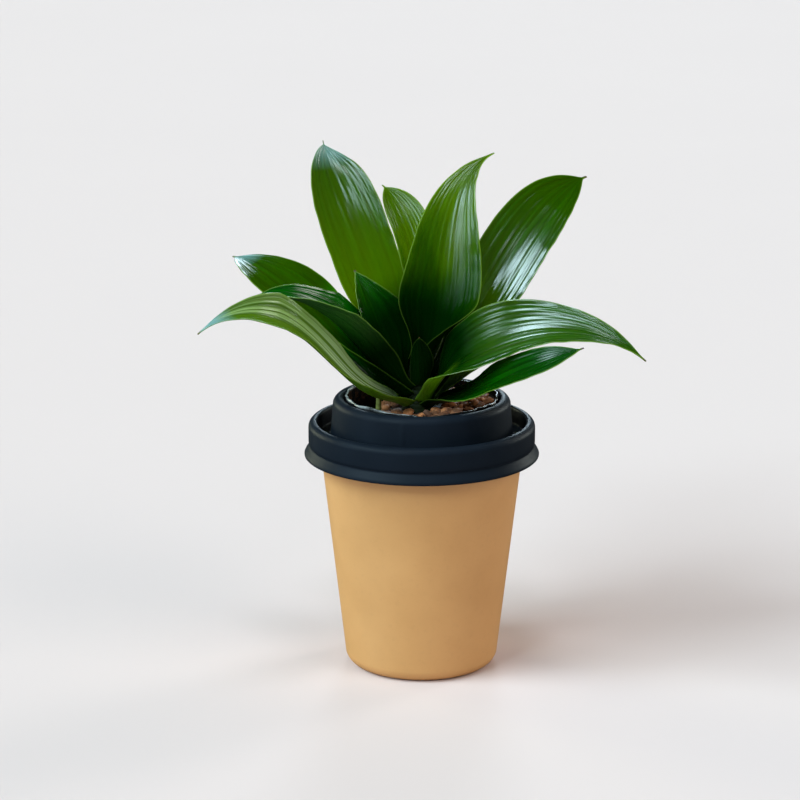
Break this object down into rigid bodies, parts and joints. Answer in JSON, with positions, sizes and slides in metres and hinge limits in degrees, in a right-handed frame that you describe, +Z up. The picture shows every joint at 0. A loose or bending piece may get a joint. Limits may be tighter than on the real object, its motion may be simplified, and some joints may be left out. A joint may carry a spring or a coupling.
{
  "type": "potted dracaena",
  "caption": "Young green dracaena rosette growing from bark soil in a tan tapered planter shaped like a take-away cup, with a dark lid and a thin black liner.",
  "frame": {"origin": "centre of the underside of the cup, on the surface that it stands on", "axes": "+Z up along the axis of the cup, -Y towards the front, where the moulding seam of the lid shows, +X to the right seen from the front"},
  "size_m": [0.1931, 0.1698, 0.2336],
  "materials": {
    "cup": "matte",
    "lid": "satin",
    "liner": "gloss",
    "soil": "rough",
    "stem": "satin",
    "leaf": "satin"
  },
  "bodies": {
    "root": {"cup": "cup", "lid": "lid", "liner": "liner", "soil": "soil", "stem": "stem", "side_shoot": "stem", "leaf_right_low": "leaf", "leaf_left_long": "leaf", "leaf_right_long": "leaf", "leaf_left_back": "leaf", "leaf_left_arched": "leaf", "leaf_tall_right": "leaf", "leaf_tall_left": "leaf", "leaf_back_narrow": "leaf", "leaf_tall_middle": "leaf", "leaf_young": "leaf", "leaf_spear": "leaf", "leaf_rear_upper": "leaf", "leaf_rear_left": "leaf", "leaf_rear_low_left": "leaf", "leaf_rear_low_right": "leaf", "leaf_rear_right": "leaf"}
  },
  "joints": []
}
